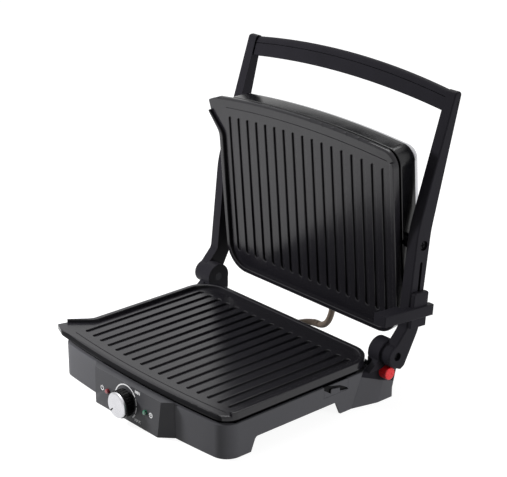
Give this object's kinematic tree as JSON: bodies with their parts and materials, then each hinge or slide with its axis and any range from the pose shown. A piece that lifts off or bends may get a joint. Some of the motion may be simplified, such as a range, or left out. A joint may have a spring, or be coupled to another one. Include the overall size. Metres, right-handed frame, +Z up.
{
  "type": "electric contact grill",
  "caption": "Countertop electric contact grill, open: ribbed lower plate with grease spout, hinged lid with matching plate on two arms, arched grip, front dial.",
  "frame": {"origin": "under the middle of the bounding box, on the table under the feet", "axes": "+X to the right of the person at the dial, +Y from the dial towards the hinge, +Z up"},
  "size_m": [0.3486, 0.3594, 0.3593],
  "materials": {
    "grey_plastic": "fine matte texture, moulded",
    "panel_plastic": "smooth satin, moulded",
    "black_plastic": "satin black, moulded",
    "knob_plastic": "ribbed, satin black",
    "red_plastic": "glossy red, moulded",
    "nonstick_plate": "cast, dark non-stick coat",
    "cover_steel": "pressed, brushed across",
    "cap_metal": "spun, silver",
    "fastener_steel": "plain zinc",
    "sheath_steel": "heat-darkened sheath",
    "reflector_sheet": "bright pressed sheet",
    "black_rubber": "matt",
    "sleeve_brown": "woven glass sleeve, varnished",
    "red_lens": "clear red lens",
    "green_lens": "clear green lens",
    "ceramic_block": "pale heat-proof moulding"
  },
  "bodies": {
    "base": {"base_housing": "grey_plastic", "control_panel": "panel_plastic", "bottom_cover": "grey_plastic", "rubber_feet": "black_rubber", "base_screws": "fastener_steel", "lock_keeper": "grey_plastic", "hinge_bracket_right": "black_plastic", "hinge_bracket_left": "black_plastic", "hinge_pins": "fastener_steel", "lower_plate": "nonstick_plate", "lower_heater": "sheath_steel", "lower_reflector": "reflector_sheet", "thermostat": "ceramic_block", "terminal_block": "ceramic_block", "red_lamp": "red_lens", "green_lamp": "green_lens", "cord_gland": "black_rubber", "base_cable_gland": "black_rubber", "link_cable": "sleeve_brown"},
    "knob": {"knob_body": "knob_plastic", "knob_cap": "cap_metal", "thermostat_shaft": "fastener_steel"},
    "button": {"release_button": "red_plastic"},
    "arms": {"left_arm": "black_plastic", "right_arm": "black_plastic", "grip_front": "black_plastic", "grip_back": "black_plastic", "handle_screws": "fastener_steel", "lid_pivot_screws": "fastener_steel"},
    "slider": {"lock_slider": "black_plastic", "slider_rivet": "fastener_steel"},
    "lid": {"lid_frame": "black_plastic", "lid_cover": "cover_steel", "upper_plate": "nonstick_plate", "upper_heater": "sheath_steel", "upper_reflector": "reflector_sheet", "lid_cable_gland": "black_rubber"}
  },
  "joints": [
    {"name": "lid_hinge", "type": "hinge", "parent": "base", "child": "arms", "pos_m": [-0.00425, 0.08701, 0.058], "axis": [1, 0, 0], "range_deg": [0, 97.42]},
    {"name": "lid_tilt", "type": "hinge", "parent": "arms", "child": "lid", "pos_m": [-0.00425, 0.12301, 0.182], "axis": [1, 0, 0], "range_deg": [-12, 0]},
    {"name": "knob_turn", "type": "hinge", "parent": "base", "child": "knob", "pos_m": [-0.00425, -0.16539, 0.0225], "axis": [0, 1, 0], "range_deg": [0, 270]},
    {"name": "button_press", "type": "slide", "parent": "base", "child": "button", "axis": [-1, 0, 0], "range_m": [0, 0.0034], "stiffness_N_per_m": 400, "springref_m": -0.002},
    {"name": "lock_slide", "type": "slide", "parent": "arms", "child": "slider", "axis": [0, 0.0872, 0.9962], "range_m": [0, 0.028]}
  ],
  "couplings": [
    {"joint": "lid_tilt", "follows": "lid_hinge", "ratio": -0.12236}
  ]
}
